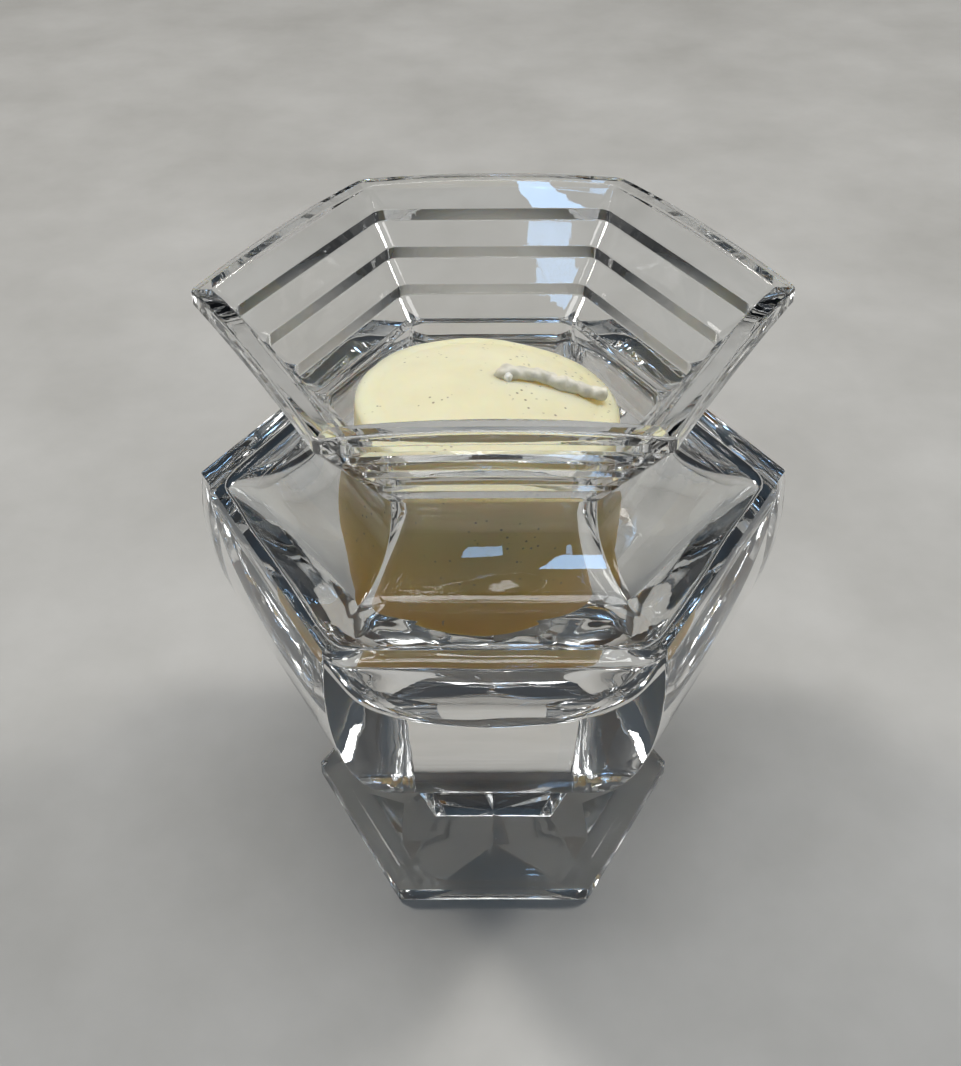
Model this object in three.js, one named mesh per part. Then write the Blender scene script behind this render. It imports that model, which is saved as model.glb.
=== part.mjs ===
// Hexagonal cut-crystal candle holder with a votive candle standing in its cup.
//
// Millimetres, +Z up. The origin is the centre of the underside, on the surface that the
// holder stands on. The hexagon's corners point along +X and -X, its flats face +Y and -Y.
//
// Every cross-section of the crystal is a hexagon with rounded corners, given by its
// apothem (centre to flat) and its corner radius. The body is lofted through a closed
// run of such sections: underside, foot, stem, bowl, belt, shoulder, neck and plain
// flaring collar on the outside, then down the collar's steps, the neck and the cup on
// the inside.
import * as THREE from 'three';

// ---- candle -----------------------------------------------------------------------
const restGap = 0.3;              // air between pieces that touch
const waxRadius = 22.7;
const waxHeight = 47.9;           // underside to crown
const waxCrown = 4.6;             // rise of the top from its edge to its crown
const waxEdge = 4;                // rounding between side and top, across
const waxEdgeDrop = 1.8;          // and down
const waxDip = 1.6;               // depth of the dip melted round the wick
const waxDipRadius = 4.4;
const waxFootChamfer = 1;
const candleLean = 5.6;           // degrees the candle leans, having slid round the dish
const candleLeanTowards = 35;     // degrees from +X towards +Y
const wickRadius = 1.1;
const wickBend = 3.4;             // where the wick has bent over, out from the candle's axis
const wickReach = waxRadius - 2.5;
const wickFit = 0.35;             // clearance between wick and wax
const tabRadius = 9;
const tabThickness = 0.4;
const tabTubeThickness = 0.5;     // crimped tube of the tab
const tabTubeHeight = 5;

// ---- collar, from the neck up to the rim ------------------------------------------
const rimHeight = 121;
const lipHeight = 3;              // upright band round the top of the rim
const lipEdge = 0.3;
const rimWidth = 3.2;             // flat top of the rim
const stepCount = 3;              // upright steps in the collar
const stepHeight = 2.4;           // upright part of each step
const slopeHeight = 3.35;         // leaning part above each step but the top one
const firstSlopeHeight = 4.5;     // leaning part under the rim
const firstSlopeInset = 2.6;      // how far the leaning part under the rim comes in
const slopeInset = 3.65;          // how far each later leaning part comes in
const lastSlopeInset = 4.1;       // how far the leaning part above the neck comes in
const neckClearance = 2.3;        // between a standard candle and the neck
const neckWall = 2.7;
const neckDrop = 1.3;             // how far below the collar's inside its outside begins
const neckBand = 0.9;             // upright part of the neck outside
const cupNeckApothem = waxRadius + neckClearance;
const neckApothem = cupNeckApothem + neckWall;
const rimInner = cupNeckApothem + lastSlopeInset + (stepCount - 1) * slopeInset + firstSlopeInset;
const rimApothem = rimInner + rimWidth;
const neckTop = rimHeight - firstSlopeHeight - stepCount * (stepHeight + slopeHeight);
const neckHeight = neckTop - neckDrop - neckBand;

// ---- bowl and shoulder ------------------------------------------------------------
const bowlApothem = 46;
const bowlCentreHeight = 73.2;    // widest level of the bowl
const bowlRadius = 64;            // upright curve of each bowl face
const beltHeight = bowlCentreHeight + 10;
const shoulderHeight = beltHeight + 0.5;
const shoulderApothem = bowlApothem - 6;

// ---- foot -------------------------------------------------------------------------
const stemApothem = 20.1;
const stemBase = 11.6;
const footApothem = 32.6;
const footEdgeTop = 4.2;
const footEdgeBottom = 0.9;
const footChamfer = 0.8;
const undersideRadius = 20;       // shallow round dish ground into the underside
const undersideDepth = 0.8;

// ---- cup --------------------------------------------------------------------------
const bellyWall = 3.6;            // glass between the cup's widest level and the bowl face
const bellyDrop = 5.2;            // widest level of the cup, below the belt
const cupNeckDrop = 2.6;          // straight part of the neck inside, below the neck outside
const cupBellyApothem = bowlApothem - bellyWall;
const cupBellyHeight = beltHeight - bellyDrop;
const cupNeckBottom = neckHeight - cupNeckDrop;
const cupFall = (cupNeckBottom - cupBellyHeight) * 0.7;   // how straight the cup opens out
const cupTurnAbove = 2;           // how sharply it turns into its widest level,
const cupTurnBelow = 2.5;         // and out of it
const cupFootTurn = 6;            // how gently it runs into the dish
const cupDishRadius = 58;         // upright curve of the cup's round, dished floor
const cupFloorHeight = bowlCentreHeight - 22.6;
const cupDishCentre = cupFloorHeight + cupDishRadius;
const cupDishEdge = waxRadius + 5.6;

// ---- rounded corners --------------------------------------------------------------
const cutCorner = 0.6;            // polished outside edges
const rimCorner = 1.8;
const collarCorner = 2.2;         // inside the collar
const cupCorner = 6;              // inside the cup

const HEX_CORNERS = 6;
const CORNER_ANGLES = [-22.5, -7.5, 7.5, 22.5].map(THREE.MathUtils.degToRad);
const ARC_STEPS = 6;

// A hexagon with round corners, as 24 points at one height.
function section(apothem, corner, z) {
  const centre = (apothem - corner) / Math.cos(Math.PI / HEX_CORNERS);
  const points = [];
  for (let k = 0; k < HEX_CORNERS; k++) {
    const towards = (k * 2 * Math.PI) / HEX_CORNERS;
    for (const turn of CORNER_ANGLES) {
      points.push(new THREE.Vector3(
        centre * Math.cos(towards) + corner * Math.cos(towards + turn),
        centre * Math.sin(towards) + corner * Math.sin(towards + turn),
        z,
      ));
    }
  }
  return points;
}

const roundSection = (radius, z) => section(radius, radius, z);

// One closed solid through sections, capped by a fan to a point at each end.
function loft(sections, startZ, endZ) {
  const count = sections[0].length;
  const vertices = [new THREE.Vector3(0, 0, startZ), ...sections.flat(), new THREE.Vector3(0, 0, endZ)];
  const last = vertices.length - 1;
  const index = [];
  for (let i = 0; i < count; i++) {
    const next = (i + 1) % count;
    index.push(0, 1 + next, 1 + i);
    index.push(last, last - count + i, last - count + next);
  }
  for (let s = 0; s + 1 < sections.length; s++) {
    for (let i = 0; i < count; i++) {
      const a = 1 + s * count + i;
      const b = 1 + s * count + ((i + 1) % count);
      index.push(a, b, b + count);
      index.push(a, b + count, a + count);
    }
  }
  const geometry = new THREE.BufferGeometry().setFromPoints(vertices);
  geometry.setIndex(index);
  geometry.computeVertexNormals();
  return geometry;
}

// Apothem of a bowl face at a height: an upright circle about a level axis.
function bowlFace(z) {
  const drop = z - bowlCentreHeight;
  return bowlApothem - bowlRadius + Math.sqrt(bowlRadius * bowlRadius - drop * drop);
}

// Height at which a bowl face has come in to an apothem, below its widest level.
function bowlHeightAt(apothem) {
  const reach = apothem - bowlApothem + bowlRadius;
  return bowlCentreHeight - Math.sqrt(bowlRadius * bowlRadius - reach * reach);
}

function undersideSections() {
  const dish = [0.33, 0.66, 1].map((share) => {
    const radius = undersideRadius * share;
    return roundSection(radius, undersideDepth * (1 - share * share));
  });
  return [...dish, section(footApothem - footChamfer, cutCorner, 0)];
}

function footAndBowlSections() {
  const list = [
    section(footApothem, cutCorner, footEdgeBottom),
    section(footApothem, cutCorner, footEdgeTop),
    section(stemApothem + 0.5, cutCorner, stemBase - 0.3),
    section(stemApothem, cutCorner, stemBase + 0.6),
  ];
  const bowlFoot = bowlHeightAt(stemApothem);
  const bowlSteps = 12;
  for (let i = 0; i <= bowlSteps; i++) {
    const share = Math.sin((i / bowlSteps) * Math.PI / 2);
    const z = THREE.MathUtils.lerp(bowlFoot, bowlCentreHeight, share);
    list.push(section(bowlFace(z), cutCorner, z));
  }
  const nearBelt = (bowlCentreHeight + beltHeight) / 2;
  list.push(section(bowlFace(nearBelt), cutCorner, nearBelt));
  list.push(section(bowlFace(beltHeight), cutCorner, beltHeight));
  return list;
}

// The hollow of the shoulder, a quarter ellipse from the belt up to the neck.
function shoulderSections() {
  const list = [];
  for (let i = 0; i <= ARC_STEPS; i++) {
    const turn = (i / ARC_STEPS) * Math.PI / 2;
    const apothem = shoulderApothem - (shoulderApothem - neckApothem) * Math.sin(turn);
    const z = neckHeight - (neckHeight - shoulderHeight) * Math.cos(turn);
    list.push(section(apothem, cutCorner, z));
  }
  return list;
}

// Corner points of the stepped collar inside, from the rim down: [apothem, height].
function collarSteps() {
  const points = [];
  let apothem = rimInner - firstSlopeInset;
  let z = rimHeight - firstSlopeHeight;
  for (let k = 0; k < stepCount; k++) {
    points.push([apothem, z], [apothem, z - stepHeight]);
    z -= stepHeight + slopeHeight;
    apothem -= slopeInset;
  }
  return points;
}

// Outside, the collar flares plainly from the neck to the lip.
function collarOutsideSections() {
  return [
    section(neckApothem, cutCorner, neckTop - neckDrop),
    section(rimApothem, rimCorner, rimHeight - lipHeight),
    section(rimApothem, rimCorner, rimHeight - lipEdge),
    section(rimApothem - lipEdge, rimCorner, rimHeight),
  ];
}

function collarInsideSections() {
  return [
    section(rimInner, collarCorner, rimHeight),
    ...collarSteps().map(([apothem, z]) => section(apothem, collarCorner, z)),
    section(cupNeckApothem, collarCorner, neckTop),
  ];
}

// Height of the dished floor at a distance from the axis.
function dishHeight(radius, clearance = 0) {
  const curve = cupDishRadius - clearance;
  return cupDishCentre - Math.sqrt(curve * curve - radius * radius);
}

function cupSections() {
  const list = [];
  const upper = new THREE.CubicBezierCurve(
    new THREE.Vector2(cupNeckApothem, cupNeckBottom),
    new THREE.Vector2(cupNeckApothem, cupNeckBottom - cupFall),
    new THREE.Vector2(cupBellyApothem, cupBellyHeight + cupTurnAbove),
    new THREE.Vector2(cupBellyApothem, cupBellyHeight),
  );
  const edgeHeight = dishHeight(cupDishEdge);
  const edgeSlope = cupDishEdge / (cupDishCentre - edgeHeight);
  const lower = new THREE.CubicBezierCurve(
    new THREE.Vector2(cupBellyApothem, cupBellyHeight),
    new THREE.Vector2(cupBellyApothem, cupBellyHeight - cupTurnBelow),
    new THREE.Vector2(cupDishEdge + cupFootTurn, edgeHeight + cupFootTurn * edgeSlope),
    new THREE.Vector2(cupDishEdge, edgeHeight),
  );
  for (const p of upper.getPoints(8)) list.push(section(p.x, cupCorner, p.y));
  // the hexagon turns round as it runs down into the dish
  for (const p of lower.getPoints(8).slice(1)) {
    const share = (cupBellyApothem - p.x) / (cupBellyApothem - cupDishEdge);
    list.push(section(p.x, THREE.MathUtils.lerp(cupCorner, cupDishEdge, share * share), p.y));
  }
  const dishSteps = 6;
  for (let i = dishSteps - 1; i >= 1; i--) {
    const radius = (cupDishEdge * i) / dishSteps;
    list.push(roundSection(radius, dishHeight(radius)));
  }
  return list;
}

function crystalHolder() {
  const sections = [
    ...undersideSections(),
    ...footAndBowlSections(),
    ...shoulderSections(),
    ...collarOutsideSections(),
    ...collarInsideSections(),
    ...cupSections(),
  ];
  return loft(sections, undersideDepth, dishHeight(0));
}

// ---- candle -----------------------------------------------------------------------
// The candle is shaped upright, with its axis through the dish's centre of curvature, and
// then turned about that centre, so that its lower edge stays on the dish.
const waxFoot = dishHeight(waxRadius, restGap);
const waxTop = waxFoot + waxHeight;
const boreRadius = wickRadius + wickFit;
const tabTubeRadius = boreRadius + tabTubeThickness;
const waxFlat = waxRadius - waxEdge;

function lean(geometry) {
  const towards = THREE.MathUtils.degToRad(candleLeanTowards);
  const axis = new THREE.Vector3(-Math.sin(towards), Math.cos(towards), 0);
  geometry.translate(0, 0, -cupDishCentre);
  geometry.applyMatrix4(new THREE.Matrix4().makeRotationAxis(axis, THREE.MathUtils.degToRad(candleLean)));
  return geometry.translate(0, 0, cupDishCentre);
}

// Height of the crown at a distance from the candle's axis.
function waxCrownAt(radius) {
  const share = Math.min(radius / waxFlat, 1);
  return waxTop - waxCrown * share * share * (waxFlat / waxRadius);
}

function candleWax() {
  const edgeTop = waxCrownAt(waxFlat);
  const outline = [
    [boreRadius, waxFoot + tabTubeHeight + wickFit],
    [tabTubeRadius + restGap, waxFoot + tabTubeHeight + wickFit],
    [tabTubeRadius + restGap, waxFoot + tabThickness + restGap],
    [tabRadius + restGap, waxFoot + tabThickness + restGap],
    [tabRadius + restGap, waxFoot],
    [waxRadius - waxFootChamfer, waxFoot],
    [waxRadius, waxFoot + waxFootChamfer],
  ];
  for (let i = 0; i <= ARC_STEPS; i++) {
    const turn = (i / ARC_STEPS) * Math.PI / 2;
    outline.push([
      waxFlat + waxEdge * Math.cos(turn),
      edgeTop - waxEdgeDrop * (1 - Math.sin(turn)),
    ]);
  }
  const crownSteps = 4;
  for (let i = crownSteps - 1; i >= 0; i--) {
    const radius = THREE.MathUtils.lerp(waxDipRadius, waxFlat, i / crownSteps);
    outline.push([radius, waxCrownAt(radius)]);
  }
  outline.push([waxDipRadius * 0.7, waxTop - waxDip * 0.55]);
  outline.push([boreRadius, waxTop - waxDip * 1.2]);
  outline.push(outline[0]);
  const geometry = new THREE.LatheGeometry(outline.map(([r, z]) => new THREE.Vector2(r, z)), 36);
  geometry.rotateX(Math.PI / 2);
  return lean(geometry);
}

// The wick runs up through the wax, bends over and lies along its top towards +X.
function candleWick() {
  const lie = (x) => new THREE.Vector3(x, 0, waxCrownAt(x) + wickRadius + wickFit);
  const bendStart = new THREE.Vector3(0, 0, waxTop - waxDip);
  const over = lie(wickBend);
  const path = new THREE.CurvePath();
  path.add(new THREE.LineCurve3(new THREE.Vector3(0, 0, waxFoot + restGap), bendStart));
  path.add(new THREE.CubicBezierCurve3(
    bendStart,
    new THREE.Vector3(0, 0, over.z),
    new THREE.Vector3(wickBend * 0.4, 0, over.z + 0.3),
    over,
  ));
  const along = [0, 0.2, 0.45, 0.7, 0.9, 1].map((t) => THREE.MathUtils.lerp(wickBend, wickReach, t));
  path.add(new THREE.CatmullRomCurve3(along.map(lie)));
  const outline = new THREE.Shape();
  outline.absarc(0, 0, wickRadius, 0, 2 * Math.PI);
  const geometry = new THREE.ExtrudeGeometry(outline, { steps: 60, curveSegments: 5, extrudePath: path });
  return lean(geometry);
}

// Tin disc under the wax, with the short tube that is crimped round the wick.
function wickTab() {
  const outline = [
    [boreRadius, waxFoot],
    [tabRadius, waxFoot],
    [tabRadius, waxFoot + tabThickness],
    [tabTubeRadius, waxFoot + tabThickness],
    [tabTubeRadius, waxFoot + tabTubeHeight],
    [boreRadius, waxFoot + tabTubeHeight],
    [boreRadius, waxFoot],
  ];
  const geometry = new THREE.LatheGeometry(outline.map(([r, z]) => new THREE.Vector2(r, z)), 24);
  geometry.rotateX(Math.PI / 2);
  return lean(geometry);
}

function mesh(name, geometry, look) {
  const piece = new THREE.Mesh(geometry, new THREE.MeshStandardMaterial(look));
  piece.name = name;
  return piece;
}

const candleHolder = new THREE.Group();
candleHolder.add(
  mesh('crystal_holder', crystalHolder(), {
    color: 0xe6eae8, roughness: 0.04, metalness: 0, transparent: true, opacity: 0.35, flatShading: true,
  }),
  mesh('candle_wax', candleWax(), { color: 0xebe3bf, roughness: 0.45, metalness: 0 }),
  mesh('candle_wick', candleWick(), { color: 0xe4dfce, roughness: 0.6, metalness: 0 }),
  mesh('wick_tab', wickTab(), { color: 0xb9bbbc, roughness: 0.35, metalness: 1 }),
);

export default candleHolder;
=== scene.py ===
import math

import bpy
import numpy as np
from mathutils import Matrix, Vector, noise

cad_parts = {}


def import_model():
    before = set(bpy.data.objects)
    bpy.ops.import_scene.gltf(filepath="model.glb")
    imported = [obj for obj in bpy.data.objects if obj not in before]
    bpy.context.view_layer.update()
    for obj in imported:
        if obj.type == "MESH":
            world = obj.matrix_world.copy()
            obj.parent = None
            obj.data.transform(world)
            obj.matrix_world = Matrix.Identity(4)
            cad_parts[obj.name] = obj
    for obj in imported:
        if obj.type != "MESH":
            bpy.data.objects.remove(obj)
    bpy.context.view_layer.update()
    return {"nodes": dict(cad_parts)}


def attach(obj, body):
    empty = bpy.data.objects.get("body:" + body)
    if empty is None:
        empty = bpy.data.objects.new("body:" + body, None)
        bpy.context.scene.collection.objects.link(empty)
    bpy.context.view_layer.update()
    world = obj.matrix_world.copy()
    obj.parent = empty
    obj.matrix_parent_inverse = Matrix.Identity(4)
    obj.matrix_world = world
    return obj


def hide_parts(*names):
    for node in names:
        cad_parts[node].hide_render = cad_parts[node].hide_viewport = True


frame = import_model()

MM = 0.001

# ---------------------------------------------------------------- crystal, mm
# The sizes follow the CAD. Apothems run from the axis to a flat of the hexagon.
RIM_HEIGHT = 121.0
RIM_APOTHEM = 42.2
RIM_WIDTH = 3.2
LIP_HEIGHT = 3.0          # upright band round the top of the rim
STEPS = 3                 # upright steps inside the collar
STEP_HEIGHT = 2.4
SLOPE_HEIGHT = 3.35       # leaning part under each step
FIRST_SLOPE = 4.5         # leaning part under the rim
FIRST_INSET = 2.6
INSET = 3.65
NECK_TOP = RIM_HEIGHT - FIRST_SLOPE - STEPS * (SLOPE_HEIGHT + STEP_HEIGHT)
NECK_DROP = 1.3           # how far below its inside the collar's outside begins
NECK_HEIGHT = NECK_TOP - 2.2
NECK_APOTHEM = 27.7
BELT_HEIGHT = 83.2
SHOULDER_HEIGHT = 83.7
SHOULDER_APOTHEM = 40.0
BOWL_HEIGHT = 73.2        # widest level of the bowl
BOWL_RADIUS = 64.0        # upright curve of a bowl face
BOWL_APOTHEM = 45.99      # a hair under the CAD's 46, to stay inside its box
STEM_APOTHEM = 20.1
STEM_BASE = 11.6
FOOT_APOTHEM = 32.6
FOOT_TOP, FOOT_BOTTOM = 4.2, 0.9
FOOT_CHAMFER = 0.8
FOOT_HOLLOW = 0.35        # sag of the foot's top between edge and stem
UNDERSIDE_RADIUS, UNDERSIDE_DEPTH = 20.0, 0.8
CUP_NECK = 25.0
CUP_NECK_BOTTOM = NECK_HEIGHT - 2.6
CUP_BELLY, CUP_BELLY_HEIGHT = 42.4, 78.0
CUP_FALL = 11.5           # how straight the cup opens out below its neck
CUP_TURN_ABOVE, CUP_TURN_BELOW = 2.0, 2.5
CUP_FOOT_TURN = 6.0       # how gently the cup runs into its dished floor
DISH_CURVE, DISH_CENTRE, DISH_EDGE = 58.0, 108.6, 28.3

# corner radii of the sections, and fillets between faces above each other
CUT_CORNER, CUT_FILLET = 0.6, 0.3
RIM_CORNER, RIM_INNER_CORNER, RIM_FILLET = 1.8, 1.6, 0.55
COLLAR_CORNER, COLLAR_FILLET = 3.0, 0.35
NECK_CORNER, NECK_FILLET = 3.5, 1.2
CUP_TOP_CORNER, CUP_CORNER = 4.5, 6.0

# departures of the finished glass from its plain sections
CUP_RIPPLE, CUP_RIPPLE_SIZE = 0.16, 17
RIM_SAG = 1.15            # the rim's corners lie lower than its middles
RIM_HOLLOW = 0.006        # the rim's middles lie in from a straight line, as a share

CORNER_STEPS = 6          # arc steps round each corner of a section
FACE_STEPS = 12           # steps along each flat of a section
WAVE_COUNT = 9


def lerp(a, b, t):
    return a + (b - a) * t


def smoothstep(a, b, x):
    t = np.clip((np.asarray(x, float) - a) / (b - a), 0, 1)
    return t * t * (3 - 2 * t)


def filleted(points, steps=4):
    """A polyline of [apothem, z, corner radius of the section, fillet] with its corners rounded."""
    out = []
    for i, (a, z, corner, fillet) in enumerate(points):
        here = np.array([a, z, corner], float)
        if fillet <= 0 or i in (0, len(points) - 1):
            out.append(here)
            continue
        back = np.array(points[i - 1][:3], float) - here
        on = np.array(points[i + 1][:3], float) - here
        lb, lo = np.hypot(*back[:2]), np.hypot(*on[:2])
        cosine = np.clip(np.dot(back[:2], on[:2]) / (lb * lo), -1, 1)
        half = math.acos(cosine) / 2
        reach = min(fillet / math.tan(half), 0.48 * lb, 0.48 * lo)
        start, end = here + back / lb * reach, here + on / lo * reach
        for k in range(steps + 1):
            t = k / steps
            out.append((1 - t) ** 2 * start + 2 * t * (1 - t) * here + t * t * end)
    return out


def collar_steps():
    """The upright steps inside the collar, from the rim down."""
    points = []
    for k in range(STEPS):
        a = RIM_APOTHEM - RIM_WIDTH - FIRST_INSET - k * INSET
        z = RIM_HEIGHT - FIRST_SLOPE - k * (STEP_HEIGHT + SLOPE_HEIGHT)
        points.append([a, z, COLLAR_CORNER, COLLAR_FILLET])
        points.append([a, z - STEP_HEIGHT, COLLAR_CORNER, COLLAR_FILLET])
    return points


def dish_height(radius, clearance=0.0):
    return DISH_CENTRE - math.sqrt((DISH_CURVE - clearance) ** 2 - radius ** 2)


def bezier(control, t):
    weights = [(1 - t) ** 3, 3 * t * (1 - t) ** 2, 3 * t * t * (1 - t), t ** 3]
    return [sum(w * c[k] for w, c in zip(weights, control)) for k in range(2)]


def bowl_face(z):
    return BOWL_APOTHEM - BOWL_RADIUS + math.sqrt(BOWL_RADIUS ** 2 - (z - BOWL_HEIGHT) ** 2)


def foot_profile():
    """The dished underside, the foot and the stem, up to the bowl: [apothem, z, corner, fillet]."""
    points = []
    for share in (0.02, 0.25, 0.5, 0.75, 0.97):
        r = UNDERSIDE_RADIUS * share
        points.append([r, UNDERSIDE_DEPTH * (1 - share * share), r, 0])
    points += [
        [FOOT_APOTHEM - FOOT_CHAMFER, 0, CUT_CORNER, CUT_FILLET],
        [FOOT_APOTHEM, FOOT_BOTTOM, CUT_CORNER, CUT_FILLET],
        [FOOT_APOTHEM, FOOT_TOP, CUT_CORNER, 0.25],
    ]
    # the foot's top runs up in a slight hollow to the stem
    for t in np.linspace(0.12, 1, 9):
        a = lerp(FOOT_APOTHEM, STEM_APOTHEM + 0.2, t)
        z = lerp(FOOT_TOP, STEM_BASE, t) - FOOT_HOLLOW * math.sin(math.pi * t) * t
        points.append([a, z, CUT_CORNER, 0.5 if t == 1 else 0])
    return points


def bowl_and_shoulder_profile():
    reach = STEM_APOTHEM - BOWL_APOTHEM + BOWL_RADIUS
    bowl_foot = BOWL_HEIGHT - math.sqrt(BOWL_RADIUS ** 2 - reach ** 2)
    points = [[STEM_APOTHEM, bowl_foot, CUT_CORNER, 0.4]]
    for t in np.linspace(0, 1, 45)[1:-1]:
        z = lerp(bowl_foot, BELT_HEIGHT, math.sin(t * math.pi / 2))
        points.append([bowl_face(z), z, CUT_CORNER, 0])
    points.append([bowl_face(BELT_HEIGHT), BELT_HEIGHT, CUT_CORNER, 0.2])
    # the shoulder is hollowed to a quarter ellipse
    for t in np.linspace(0, 1, 30):
        turn = t * math.pi / 2
        a = SHOULDER_APOTHEM - (SHOULDER_APOTHEM - NECK_APOTHEM) * math.sin(turn)
        z = NECK_HEIGHT - (NECK_HEIGHT - SHOULDER_HEIGHT) * math.cos(turn)
        points.append([a, z, CUT_CORNER, 0])
    return points


def collar_profile():
    """The plain outside of the collar, over the rim, and down the steps inside."""
    return [
        [NECK_APOTHEM, NECK_TOP - NECK_DROP, CUT_CORNER, 0.5],
        [RIM_APOTHEM, RIM_HEIGHT - LIP_HEIGHT, RIM_CORNER, 0.4],
        [RIM_APOTHEM, RIM_HEIGHT, RIM_CORNER, RIM_FILLET],
        [RIM_APOTHEM - RIM_WIDTH, RIM_HEIGHT, RIM_INNER_CORNER, 0.45],
        *collar_steps(),
        [CUP_NECK, NECK_TOP, NECK_CORNER, NECK_FILLET],
    ]


def cup_profile():
    points = []
    control = [(CUP_NECK, CUP_NECK_BOTTOM), (CUP_NECK, CUP_NECK_BOTTOM - CUP_FALL),
               (CUP_BELLY, CUP_BELLY_HEIGHT + CUP_TURN_ABOVE), (CUP_BELLY, CUP_BELLY_HEIGHT)]
    for t in np.linspace(0, 1, 36):
        a, z = bezier(control, t)
        points.append([a, z, lerp(CUP_TOP_CORNER, CUP_CORNER, min(1, 4 * t)), 0])
    floor_edge = dish_height(DISH_EDGE)
    slope = DISH_EDGE / (DISH_CENTRE - floor_edge)
    control = [(CUP_BELLY, CUP_BELLY_HEIGHT), (CUP_BELLY, CUP_BELLY_HEIGHT - CUP_TURN_BELOW),
               (DISH_EDGE + CUP_FOOT_TURN, floor_edge + CUP_FOOT_TURN * slope), (DISH_EDGE, floor_edge)]
    # the hexagon turns round as it runs down into the dish
    for t in np.linspace(0, 1, 30)[1:]:
        a, z = bezier(control, t)
        share = (CUP_BELLY - a) / (CUP_BELLY - DISH_EDGE)
        points.append([a, z, lerp(CUP_CORNER, DISH_EDGE, share ** 2), 0])
    for a in np.linspace(DISH_EDGE, 0.4, 24)[1:]:
        points.append([a, dish_height(a), a, 0])
    return points


def crystal_profile():
    return np.array(filleted(
        foot_profile() + bowl_and_shoulder_profile() + collar_profile() + cup_profile()))


def tangents(rows):
    """Direction along a polyline at each point: a much longer neighbour gives its own direction."""
    step = np.diff(rows, axis=0)
    length = np.hypot(step[:, 0], step[:, 1])
    unit = step / np.maximum(length, 1e-9)[:, None]
    out = np.empty_like(rows)
    out[0], out[-1] = unit[0], unit[-1]
    for i in range(1, len(rows) - 1):
        lb, lo = length[i - 1], length[i]
        if lb > 2.6 * lo:
            out[i] = unit[i - 1]
        elif lo > 2.6 * lb:
            out[i] = unit[i]
        else:
            out[i] = unit[i - 1] * lo + unit[i] * lb
    out /= np.hypot(out[:, 0], out[:, 1])[:, None]
    return out


def waves(p, seed, size):
    """Smooth three-way ripple from a few fixed sine waves, about -1 to 1."""
    rng = np.random.default_rng(seed)
    total = np.zeros(len(p))
    for _ in range(WAVE_COUNT):
        k = rng.normal(size=3)
        k *= 2 * math.pi / (size * rng.uniform(0.7, 1.5)) / np.linalg.norm(k)
        total += np.sin(p @ k + rng.uniform(0, 2 * math.pi))
    return total / math.sqrt(WAVE_COUNT)


def crystal_shape(points, inside):
    """Departures of the finished glass from its plain sections: a wavy cup and a bowed rim."""
    p = np.array(points, float)
    ripple = inside * smoothstep(98, 90, p[:, 2]) * smoothstep(4, 14, np.hypot(p[:, 0], p[:, 1]))
    swell = CUP_RIPPLE * ripple * waves(p, 5, CUP_RIPPLE_SIZE)
    out = p[:, :2] / np.maximum(np.hypot(p[:, 0], p[:, 1]), 1)[:, None]
    p[:, :2] += out * swell[:, None]
    angle = np.arctan2(p[:, 1], p[:, 0])
    off = (angle / (math.pi / 3)) % 1.0 - 0.5            # 0 at mid-face, +-0.5 at a corner
    along = np.tan(off * math.pi / 3) / math.tan(math.pi / 6)
    lift = smoothstep(115.0, RIM_HEIGHT, p[:, 2])
    p[:, 2] -= RIM_SAG * lift * along ** 2
    p[:, :2] *= (1 - RIM_HOLLOW * lift * (1 - along ** 2))[:, None]
    return p


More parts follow.
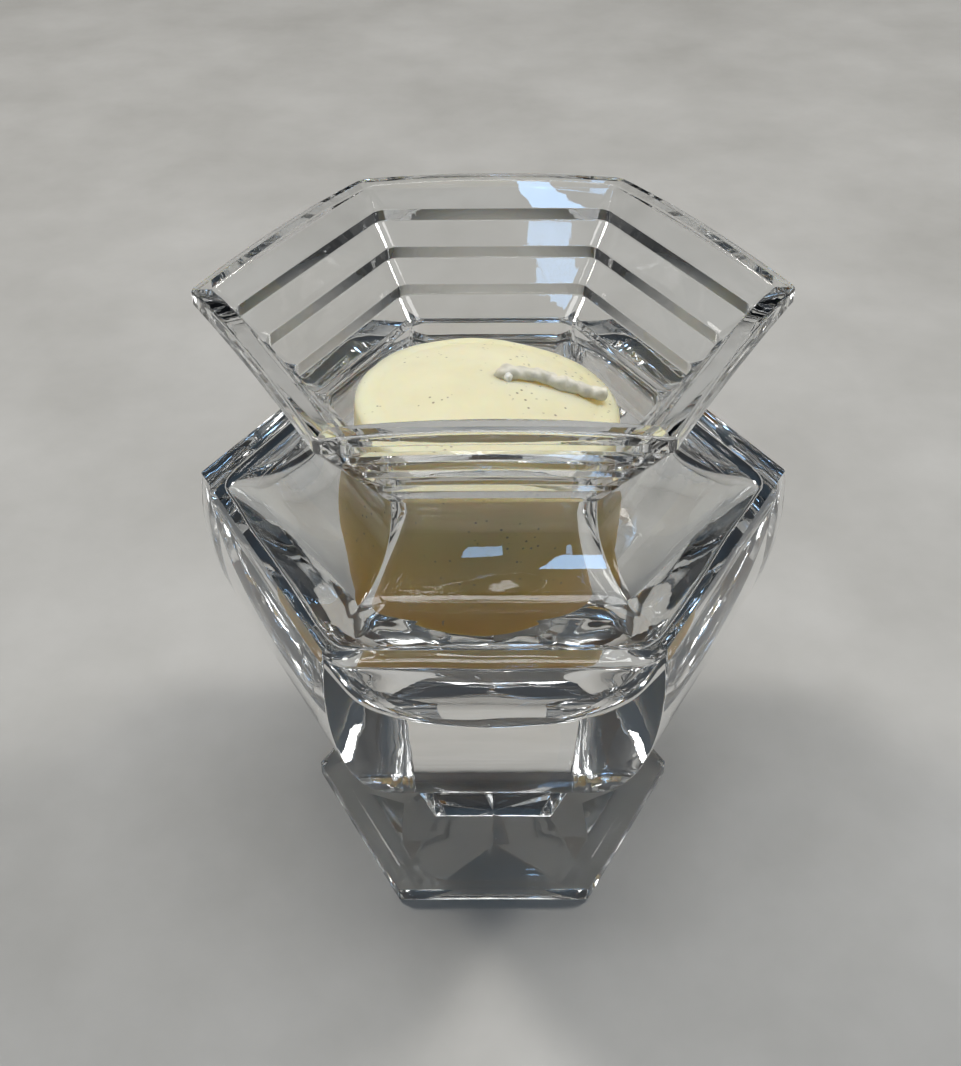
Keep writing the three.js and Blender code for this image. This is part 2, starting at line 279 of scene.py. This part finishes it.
def crystal_mesh():
    rows = crystal_profile()
    tang = tangents(rows)
    ring_p, ring_n = [], []
    for (a, z, r), (ta, tz, tr) in zip(rows, tang):
        pts, nrm = [], []
        centre = (a - r) / math.cos(math.pi / 6)
        for k in range(6):
            towards = k * math.pi / 3
            u = np.array([math.cos(towards), math.sin(towards)])
            corner_pts = []
            for i in range(CORNER_STEPS + 1):
                turn = lerp(-math.pi / 6, math.pi / 6, i / CORNER_STEPS)
                n = np.array([math.cos(towards + turn), math.sin(towards + turn)])
                p = centre * u + r * n
                c = math.cos(turn) / math.cos(math.pi / 6)
                slope = ta * c + tr * (1 - c)
                corner_pts.append((p, np.array([tz * n[0], tz * n[1], -slope])))
            pts += [np.array([*p, z]) for p, n in corner_pts]
            nrm += [n for p, n in corner_pts]
            # the flat that follows this corner
            after = towards + math.pi / 3
            v = np.array([math.cos(after), math.sin(after)])
            n = np.array([math.cos(towards + math.pi / 6), math.sin(towards + math.pi / 6)])
            start, end = centre * u + r * n, centre * v + r * n
            for i in range(1, FACE_STEPS):
                p = lerp(start, end, i / FACE_STEPS)
                pts.append(np.array([*p, z]))
                nrm.append(np.array([tz * n[0], tz * n[1], -ta]))
        ring_p.append(pts)
        ring_n.append(nrm)
    p, n = np.array(ring_p), np.array(ring_n)
    rings, count = p.shape[:2]
    p, n = p.reshape(-1, 3), n.reshape(-1, 3)
    # carry the normals through the small deformation
    h = 0.01
    inside = np.repeat(np.arange(rings) > np.argmax(rows[:, 1] >= RIM_HEIGHT), count).astype(float)
    moved = crystal_shape(p, inside)
    jac = np.stack([(crystal_shape(p + h * e, inside) - moved) / h for e in np.eye(3)], axis=2)
    n = np.einsum("nij,nj->ni", np.linalg.inv(jac).transpose(0, 2, 1), n)
    n /= np.linalg.norm(n, axis=1)[:, None]
    verts = np.vstack([moved, [[0, 0, UNDERSIDE_DEPTH], [0, 0, dish_height(0)]]])
    normals = np.vstack([n, [[0, 0, -1], [0, 0, 1]]])
    faces = []
    for s in range(rings - 1):
        for i in range(count):
            j = (i + 1) % count
            a, b = s * count + i, s * count + j
            faces.append((a, b, b + count, a + count))
    low, high = len(verts) - 2, len(verts) - 1
    last = (rings - 1) * count
    for i in range(count):
        j = (i + 1) % count
        faces.append((low, j, i))
        faces.append((high, last + i, last + j))
    return verts, faces, normals


def new_mesh(name, verts, faces, normals=None):
    mesh = bpy.data.meshes.new(name)
    mesh.from_pydata((np.asarray(verts) * MM).tolist(), [], faces)
    mesh.validate()
    mesh.polygons.foreach_set("use_smooth", [True] * len(mesh.polygons))
    if normals is not None:
        mesh.normals_split_custom_set_from_vertices(normals.tolist())
    mesh.update()
    obj = bpy.data.objects.new(name, mesh)
    bpy.context.scene.collection.objects.link(obj)
    return obj


# ---------------------------------------------------------------- candle, mm
GAP = 0.3
WAX_RADIUS = 22.7
WAX_CROWN = 4.6
WAX_EDGE, WAX_EDGE_DROP = 4.0, 1.8
WAX_FOOT = dish_height(WAX_RADIUS, GAP)
WAX_TOP = WAX_FOOT + 47.9
CANDLE_LEAN, LEAN_TOWARDS = 5.6, 35.0
TAB_RADIUS, TAB_THICKNESS, TAB_COLLAR, TAB_COLLAR_HEIGHT = 9.0, 0.4, 1.95, 5.0
WICK_RADIUS = 1.15
WICK_ROOT = (1.7, 1.3)


def wax_crown(radius):
    flat = WAX_RADIUS - WAX_EDGE
    share = np.minimum(radius / flat, 1)
    z = WAX_TOP - WAX_CROWN * share ** 2 * flat / WAX_RADIUS
    over = np.clip((radius - flat) / WAX_EDGE, 0, 1)
    return z - WAX_EDGE_DROP * (1 - np.sqrt(1 - over ** 2))


def wax_relief(x, y):
    """Unevenness of the set top: a dip by the wick, low waves, a shallow trench under the wick."""
    d = math.hypot(x - WICK_ROOT[0] - 0.5, (y - WICK_ROOT[1]) * 1.2)
    dip = -0.55 * math.exp(-(d / 3.0) ** 2)
    v = Vector((x * 0.11, y * 0.11, 3.7))
    waves = 0.32 * noise.noise(v) + 0.12 * noise.noise(v * 3.1)
    under_wick = float(smoothstep(0, 4, x)) * float(smoothstep(21, 16, x))
    trench = -0.22 * math.exp(-((y - 0.9) / 1.7) ** 2) * under_wick
    return dip + waves + trench


def lean(verts):
    """Turns the upright candle about the dish's centre of curvature, as the CAD does."""
    t, a = math.radians(LEAN_TOWARDS), math.radians(CANDLE_LEAN)
    turn = np.array(Matrix.Rotation(a, 3, Vector((-math.sin(t), math.cos(t), 0))))
    centre = np.array([0, 0, DISH_CENTRE])
    return (np.asarray(verts) - centre) @ turn.T + centre


def wax_surface(x, y):
    """Height of the finished wax top at a point measured from the candle's axis."""
    return float(wax_crown(math.hypot(x, y))) + wax_relief(x, y)


def wax_mesh():
    profile = [
        (0.02, WAX_FOOT + TAB_COLLAR_HEIGHT + 0.35),
        (TAB_COLLAR + GAP, WAX_FOOT + TAB_COLLAR_HEIGHT + 0.35),
        (TAB_COLLAR + GAP, WAX_FOOT + TAB_THICKNESS + GAP),
        (TAB_RADIUS + GAP, WAX_FOOT + TAB_THICKNESS + GAP),
        (TAB_RADIUS + GAP, WAX_FOOT),
    ]
    profile += [(r, WAX_FOOT) for r in np.linspace(TAB_RADIUS + 2, WAX_RADIUS - 1.1, 6)]
    for t in np.linspace(0.1, 1, 6):
        profile.append((WAX_RADIUS - 1 + math.sin(t * math.pi / 2), WAX_FOOT + 1 - math.cos(t * math.pi / 2)))
    profile += [(WAX_RADIUS, z) for z in np.linspace(WAX_FOOT + 2, WAX_TOP - WAX_CROWN - 3.2, 26)]
    for t in np.linspace(0, 1, 10):
        r = WAX_RADIUS - WAX_EDGE + WAX_EDGE * math.cos(t * math.pi / 2)
        profile.append((r, float(wax_crown(r))))
    profile += [(r, float(wax_crown(r))) for r in np.linspace(WAX_RADIUS - WAX_EDGE - 0.6, 0.3, 34)]
    count = 144
    verts = []
    for i, (r, z) in enumerate(profile):
        for k in range(count):
            t = 2 * math.pi * k / count
            x, y = r * math.cos(t), r * math.sin(t)
            top = float(smoothstep(WAX_TOP - 12, WAX_TOP - 6, z))
            zz = z + top * wax_relief(x, y)
            if r > WAX_RADIUS - 0.2 and z > WAX_FOOT + 1.2:
                v = Vector((math.cos(t) * 1.6, math.sin(t) * 1.6, z * 0.07))
                wob = 1 + 0.004 * noise.noise(v) * float(smoothstep(WAX_FOOT, WAX_FOOT + 8, z))
                x, y = x * wob, y * wob
            verts.append((x, y, zz))
    faces = []
    for s in range(len(profile) - 1):
        for k in range(count):
            j = (k + 1) % count
            a, b = s * count + k, s * count + j
            faces.append((a, b, b + count, a + count))
    faces.append(tuple(range(count))[::-1])
    last = (len(profile) - 1) * count
    faces.append(tuple(last + k for k in range(count)))
    return lean(verts), faces


def smooth_path(points, count):
    """Even points along a Catmull-Rom curve."""
    p = [np.array(q, float) for q in points]
    p = [2 * p[0] - p[1]] + p + [2 * p[-1] - p[-2]]
    fine = []
    for i in range(1, len(p) - 2):
        for t in np.linspace(0, 1, 24, endpoint=False):
            fine.append(0.5 * ((2 * p[i]) + (p[i + 1] - p[i - 1]) * t
                               + (2 * p[i - 1] - 5 * p[i] + 4 * p[i + 1] - p[i + 2]) * t * t
                               + (3 * p[i] - p[i - 1] - 3 * p[i + 1] + p[i + 2]) * t ** 3))
    fine.append(p[-2])
    fine = np.array(fine)
    s = np.r_[0, np.cumsum(np.linalg.norm(np.diff(fine, axis=0), axis=1))]
    even = np.linspace(0, s[-1], count)
    return np.c_[[np.interp(even, s, fine[:, k]) for k in range(3)]].T, s[-1]


def wick_mesh():
    """Waxed braid: up out of the wax, over, and along the top, with a kink and a clean cut."""
    def lie(x, y, lift):
        return (x, y, wax_surface(x, y) + WICK_RADIUS * 0.75 + lift)

    x0, y0 = WICK_ROOT
    points = [
        (x0 - 0.6, y0 + 0.1, wax_surface(x0, y0) - 5),
        (x0 - 0.3, y0 + 0.1, wax_surface(x0, y0) - 1.4),
        lie(x0 + 0.9, y0, 0.1), lie(x0 + 3, y0 - 0.2, 0.2), lie(7.0, 0.9, 0.25), lie(9.6, 0.7, 0.4),
        lie(11.2, 0.15, 0.15), lie(12.6, 0.35, 0.1), lie(15, 0.4, 0.2), lie(17.6, 0.45, 0.45),
        lie(20.2, 0.5, 0.8),
    ]
    path, length = smooth_path(points, 150)
    tang = np.gradient(path, axis=0)
    tang /= np.linalg.norm(tang, axis=1)[:, None]
    count = 28
    side = np.array([0.0, 1.0, 0.0])
    verts = []
    for i, (p, t) in enumerate(zip(path, tang)):
        s = i / (len(path) - 1) * length
        side = side - np.dot(side, t) * t
        side /= np.linalg.norm(side)
        up = np.cross(t, side)
        kink = math.exp(-((s - 16.2) / 0.8) ** 2)
        neck = math.exp(-((s - 14.9) / 0.5) ** 2)
        body = WICK_RADIUS * (1 + 0.22 * kink - 0.12 * neck + 0.16 * math.exp(-((s - 6.2) / 1.2) ** 2))
        if s > length - 0.35:
            body *= math.sqrt(max(0.05, 1 - ((s - length + 0.35) / 0.38) ** 2))
        for k in range(count):
            a = 2 * math.pi * k / count
            braid = 0.055 * math.cos(3 * a - 2.4 * s) + 0.03 * math.cos(3 * a + 2.4 * s + 1)
            v = Vector((p[0] * 0.9 + math.cos(a), p[1] * 0.9 + math.sin(a), p[2] * 0.9))
            lump = 0.11 * noise.noise(v) + 0.05 * noise.noise(v * 3)
            r = body * (1 + braid + lump)
            verts.append(p + r * (math.cos(a) * side + math.sin(a) * up))
    faces = []
    for s in range(len(path) - 1):
        for k in range(count):
            j = (k + 1) % count
            a, b = s * count + k, s * count + j
            faces.append((a, b, b + count, a + count))
    faces.append(tuple(range(count))[::-1])
    last = (len(path) - 1) * count
    faces.append(tuple(last + k for k in range(count)))
    return lean(verts), faces


def blob_mesh(centre, size, seed):
    """A set drop of wax: a lumpy closed form."""
    verts, faces = [], []
    rows, count = 20, 28
    for i in range(1, rows):
        lat = -math.pi / 2 + math.pi * i / rows
        for k in range(count):
            lon = 2 * math.pi * k / count
            d = Vector((math.cos(lat) * math.cos(lon), math.cos(lat) * math.sin(lon), math.sin(lat)))
            f = 1 + 0.22 * noise.noise(d * 1.3 + Vector((seed, 0, 0)))
            f += 0.08 * noise.noise(d * 3.5 + Vector((seed, 3, 0)))
            verts.append([centre[j] + size[j] * d[j] * f for j in range(3)])
    for i in range(rows - 2):
        for k in range(count):
            j = (k + 1) % count
            a, b = i * count + k, i * count + j
            faces.append((a, b, b + count, a + count))
    verts.append([centre[0], centre[1], centre[2] - size[2]])
    verts.append([centre[0], centre[1], centre[2] + size[2]])
    low, high, last = len(verts) - 2, len(verts) - 1, (rows - 2) * count
    for k in range(count):
        j = (k + 1) % count
        faces.append((low, j, k))
        faces.append((high, last + k, last + j))
    return lean(verts), faces


# ---------------------------------------------------------------- materials
def material(name):
    mat = bpy.data.materials.new(name)
    mat.use_nodes = True
    nodes, links = mat.node_tree.nodes, mat.node_tree.links
    shader = nodes["Principled BSDF"]
    coords = nodes.new("ShaderNodeTexCoord").outputs["Object"]
    return mat, nodes, links, shader, coords


def noise_node(nodes, links, coords, scale, detail=3.0, rough=0.5, stretch=None):
    if stretch:
        mapping = nodes.new("ShaderNodeMapping")
        mapping.inputs["Scale"].default_value = stretch
        links.new(coords, mapping.inputs["Vector"])
        coords = mapping.outputs["Vector"]
    tex = nodes.new("ShaderNodeTexNoise")
    tex.inputs["Scale"].default_value = scale
    tex.inputs["Detail"].default_value = detail
    tex.inputs["Roughness"].default_value = rough
    links.new(coords, tex.inputs["Vector"])
    return tex.outputs["Fac"]


def ramp_node(nodes, links, source, stops):
    ramp = nodes.new("ShaderNodeValToRGB")
    elements = ramp.color_ramp.elements
    while len(elements) < len(stops):
        elements.new(0.5)
    for element, (at, colour) in zip(elements, stops):
        element.position = at
        element.color = (*colour, 1) if len(colour) == 3 else colour
    links.new(source, ramp.inputs["Fac"])
    return ramp.outputs["Color"]


def bump_node(nodes, links, height, distance, strength, onto=None):
    bump = nodes.new("ShaderNodeBump")
    bump.inputs["Distance"].default_value = distance
    bump.inputs["Strength"].default_value = strength
    links.new(height, bump.inputs["Height"])
    if onto:
        links.new(onto, bump.inputs["Normal"])
    return bump.outputs["Normal"]


def crystal_material():
    mat, nodes, links, shader, coords = material("lead_crystal")
    shader.inputs["Base Color"].default_value = (0.985, 0.992, 0.99, 1)
    shader.inputs["Transmission Weight"].default_value = 1.0
    shader.inputs["IOR"].default_value = 1.545
    # hand polish leaves the flats faintly uneven, and a few wiped smears
    slow = noise_node(nodes, links, coords, 75, 1.5)
    fine = noise_node(nodes, links, coords, 400, 2.0)
    first = bump_node(nodes, links, slow, 0.0006, 0.16)
    links.new(bump_node(nodes, links, fine, 0.00004, 0.12, first), shader.inputs["Normal"])
    smear = noise_node(nodes, links, coords, 60, 4.0, 0.6, (1, 1, 3))
    polish = ramp_node(nodes, links, smear, [(0.45, (0.004,) * 3), (0.75, (0.03,) * 3)])
    links.new(polish, shader.inputs["Roughness"])
    return mat


def wax_material():
    mat, nodes, links, shader, coords = material("candle_wax")
    split = nodes.new("ShaderNodeSeparateXYZ")
    links.new(coords, split.inputs["Vector"])
    height = nodes.new("ShaderNodeMapRange")
    height.inputs["From Min"].default_value = 0.056
    height.inputs["From Max"].default_value = 0.104
    links.new(split.outputs["Z"], height.inputs["Value"])
    # painted shade: the wax's colour darkens to amber towards its foot, standing in for the shade where
    # little light reaches into the wax
    painted_shade_tone = ramp_node(nodes, links, height.outputs["Result"], [
        (0.0, (0.62, 0.34, 0.06)), (0.35, (0.72, 0.47, 0.12)),
        (0.7, (0.78, 0.65, 0.33)), (0.93, (0.75, 0.71, 0.50))])
    cloud = noise_node(nodes, links, coords, 90, 4.0)
    tint = ramp_node(nodes, links, cloud, [(0.3, (0.93, 0.92, 0.88)), (0.7, (1, 1, 1))])
    mix = nodes.new("ShaderNodeMix")
    mix.data_type, mix.blend_type = "RGBA", "MULTIPLY"
    mix.inputs["Factor"].default_value = 1.0
    links.new(painted_shade_tone, mix.inputs["A"])
    links.new(tint, mix.inputs["B"])
    # soot specks caught in the top
    specks = nodes.new("ShaderNodeTexVoronoi")
    specks.inputs["Scale"].default_value = 700
    links.new(coords, specks.inputs["Vector"])
    dots = ramp_node(nodes, links, specks.outputs["Distance"], [(0.12, (1, 1, 1)), (0.20, (0, 0, 0))])
    patches = noise_node(nodes, links, coords, 160, 2.0)
    where = ramp_node(nodes, links, patches, [(0.50, (0, 0, 0)), (0.58, (1, 1, 1))])
    mask = nodes.new("ShaderNodeMix")
    mask.data_type, mask.blend_type = "RGBA", "MULTIPLY"
    mask.inputs["Factor"].default_value = 1.0
    links.new(dots, mask.inputs["A"])
    links.new(where, mask.inputs["B"])
    soot = nodes.new("ShaderNodeMix")
    soot.data_type = "RGBA"
    links.new(mask.outputs["Result"], soot.inputs["Factor"])
    links.new(mix.outputs["Result"], soot.inputs["A"])
    soot.inputs["B"].default_value = (0.28, 0.24, 0.16, 1)
    links.new(soot.outputs["Result"], shader.inputs["Base Color"])
    shader.inputs["Subsurface Weight"].default_value = 0.9
    shader.inputs["Subsurface Radius"].default_value = (1.0, 0.75, 0.4)
    shader.inputs["Subsurface Scale"].default_value = 0.012
    shader.inputs["Roughness"].default_value = 0.42
    shader.inputs["IOR"].default_value = 1.44
    rough = noise_node(nodes, links, coords, 260, 4.0)
    links.new(bump_node(nodes, links, rough, 0.0002, 0.5), shader.inputs["Normal"])
    return mat


def wick_material(name="waxed_wick", colour=(0.74, 0.70, 0.58)):
    mat, nodes, links, shader, coords = material(name)
    cloud = noise_node(nodes, links, coords, 500, 4.0)
    dark = tuple(c * 0.72 for c in colour)
    links.new(ramp_node(nodes, links, cloud, [(0.3, dark), (0.65, colour)]), shader.inputs["Base Color"])
    shader.inputs["Subsurface Weight"].default_value = 0.6
    shader.inputs["Subsurface Radius"].default_value = (1.0, 0.9, 0.7)
    shader.inputs["Subsurface Scale"].default_value = 0.001
    shader.inputs["Roughness"].default_value = 0.38
    fibre = noise_node(nodes, links, coords, 1500, 3.0)
    links.new(bump_node(nodes, links, fibre, 0.0001, 0.6), shader.inputs["Normal"])
    return mat


def tin_material():
    mat, nodes, links, shader, coords = material("tinplate")
    shader.inputs["Metallic"].default_value = 1.0
    streak = noise_node(nodes, links, coords, 300, 4.0, 0.6, (1, 8, 1))
    tone = ramp_node(nodes, links, streak, [(0.3, (0.52, 0.52, 0.53)), (0.7, (0.74, 0.74, 0.75))])
    links.new(tone, shader.inputs["Base Color"])
    dull = ramp_node(nodes, links, streak, [(0.3, (0.25,) * 3), (0.7, (0.42,) * 3)])
    links.new(dull, shader.inputs["Roughness"])
    links.new(bump_node(nodes, links, streak, 0.00005, 0.4), shader.inputs["Normal"])
    return mat


# ---------------------------------------------------------------- pieces
crystal = new_mesh("crystal", *crystal_mesh())
crystal.data.materials.append(crystal_material())
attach(crystal, "holder")
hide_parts("crystal_holder")

wax = new_mesh("wax", *wax_mesh())
wax.data.materials.append(wax_material())
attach(wax, "candle")
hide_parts("candle_wax")

wick = new_mesh("wick", *wick_mesh())
wick.data.materials.append(wick_material())
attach(wick, "candle")
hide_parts("candle_wick")

root_z = wax_surface(WICK_ROOT[0], WICK_ROOT[1])
drop = new_mesh("wax_drop", *blob_mesh((3.0, 0.0, root_z + 0.6), (0.75, 0.95, 0.9), 4.0))
drop.data.materials.append(wick_material("white_wax", (0.86, 0.84, 0.76)))
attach(drop, "candle")

tab = frame["nodes"]["wick_tab"]
tab.data.materials.clear()
tab.data.materials.append(tin_material())

# ---------------------------------------------------------------- floor, light, camera
def floor_piece():
    mesh = bpy.data.meshes.new("floor")
    s = 3.0                # half of the floor's side, metres
    mesh.from_pydata([(-s, -s, 0), (s, -s, 0), (s, s, 0), (-s, s, 0)], [], [(0, 1, 2, 3)])
    obj = bpy.data.objects.new("floor", mesh)
    bpy.context.scene.collection.objects.link(obj)
    obj.location.z = -0.0002
    mat, nodes, links, shader, coords = material("pale_floor")
    cloud = noise_node(nodes, links, coords, 14, 5.0, 0.6)
    tone = ramp_node(nodes, links, cloud, [(0.3, (0.385, 0.375, 0.35)), (0.7, (0.485, 0.475, 0.45))])
    links.new(tone, shader.inputs["Base Color"])
    shader.inputs["Roughness"].default_value = 0.7
    obj.data.materials.append(mat)


def area_light(name, place, aim, size, power, colour=(1, 1, 1)):
    data = bpy.data.lights.new(name, "AREA")
    data.shape = "RECTANGLE"
    data.size, data.size_y = size
    data.energy = power
    data.color = colour
    obj = bpy.data.objects.new(name, data)
    bpy.context.scene.collection.objects.link(obj)
    obj.location = place
    obj.rotation_euler = (Vector(aim) - Vector(place)).to_track_quat("-Z", "Y").to_euler()


def world():
    w = bpy.data.worlds.new("studio")
    bpy.context.scene.world = w
    w.use_nodes = True
    nodes, links = w.node_tree.nodes, w.node_tree.links
    split = nodes.new("ShaderNodeSeparateXYZ")
    links.new(nodes.new("ShaderNodeTexCoord").outputs["Generated"], split.inputs["Vector"])
    colour = ramp_node(nodes, links, split.outputs["Z"], [
        (0.0, (0.035, 0.035, 0.035)), (0.3, (0.022, 0.026, 0.032)),
        (0.8, (0.03, 0.045, 0.06)), (0.95, (0.25, 0.26, 0.27))])
    links.new(colour, nodes["Background"].inputs["Color"])
    nodes["Background"].inputs["Strength"].default_value = 1.0


def camera():
    """A tall frame, looking down 39 degrees, straight at a flat."""
    elevation, yaw, roll = (math.radians(v) for v in (39.41, 0.39, -0.45))
    unit = 120 * MM
    level = math.cos(elevation)
    back = Vector((math.sin(yaw) * level, -math.cos(yaw) * level, math.sin(elevation)))
    right = (-back).cross(Vector((0, 0, 1))).normalized()
    up = right.cross(-back)
    data = bpy.data.cameras.new("camera")
    data.sensor_fit = "AUTO"
    data.sensor_width = 36
    data.lens = 1266 / 1066 * 36
    data.clip_start = 0.01
    obj = bpy.data.objects.new("camera", data)
    bpy.context.scene.collection.objects.link(obj)
    place = Vector((0, 0, 0.575 * unit)) + back * 1.960 * unit - right * 0.019 * unit
    r2 = math.cos(roll) * right + math.sin(roll) * up
    u2 = -math.sin(roll) * right + math.cos(roll) * up
    turn = Matrix((r2, u2, back)).transposed().to_4x4()
    obj.matrix_world = Matrix.Translation(place) @ turn
    bpy.context.scene.camera = obj


floor_piece()
world()
area_light("back_left", (-0.80, 0.40, 1.2), (0, 0, 0.05), (0.25, 0.25), 7.5, (1.0, 0.97, 0.93))
area_light("back_right", (0.82, 0.36, 1.2), (0, 0, 0.05), (0.25, 0.25), 7.5, (1.0, 0.98, 0.95))
area_light("overhead", (0.0, 0.0, 1.4), (0, 0, 0.05), (0.9, 0.5), 8.5)
area_light("window", (0.105, -0.92, 0.76), (0, 0.03, 0.115), (0.085, 0.36), 1.35, (0.35, 0.62, 1.0))
camera()

cycles = bpy.context.scene.cycles
cycles.max_bounces = 24
cycles.transmission_bounces = 24
cycles.glossy_bounces = 12
cycles.diffuse_bounces = 4
cycles.sample_clamp_indirect = 6
bpy.context.scene.view_settings.view_transform = "Standard"
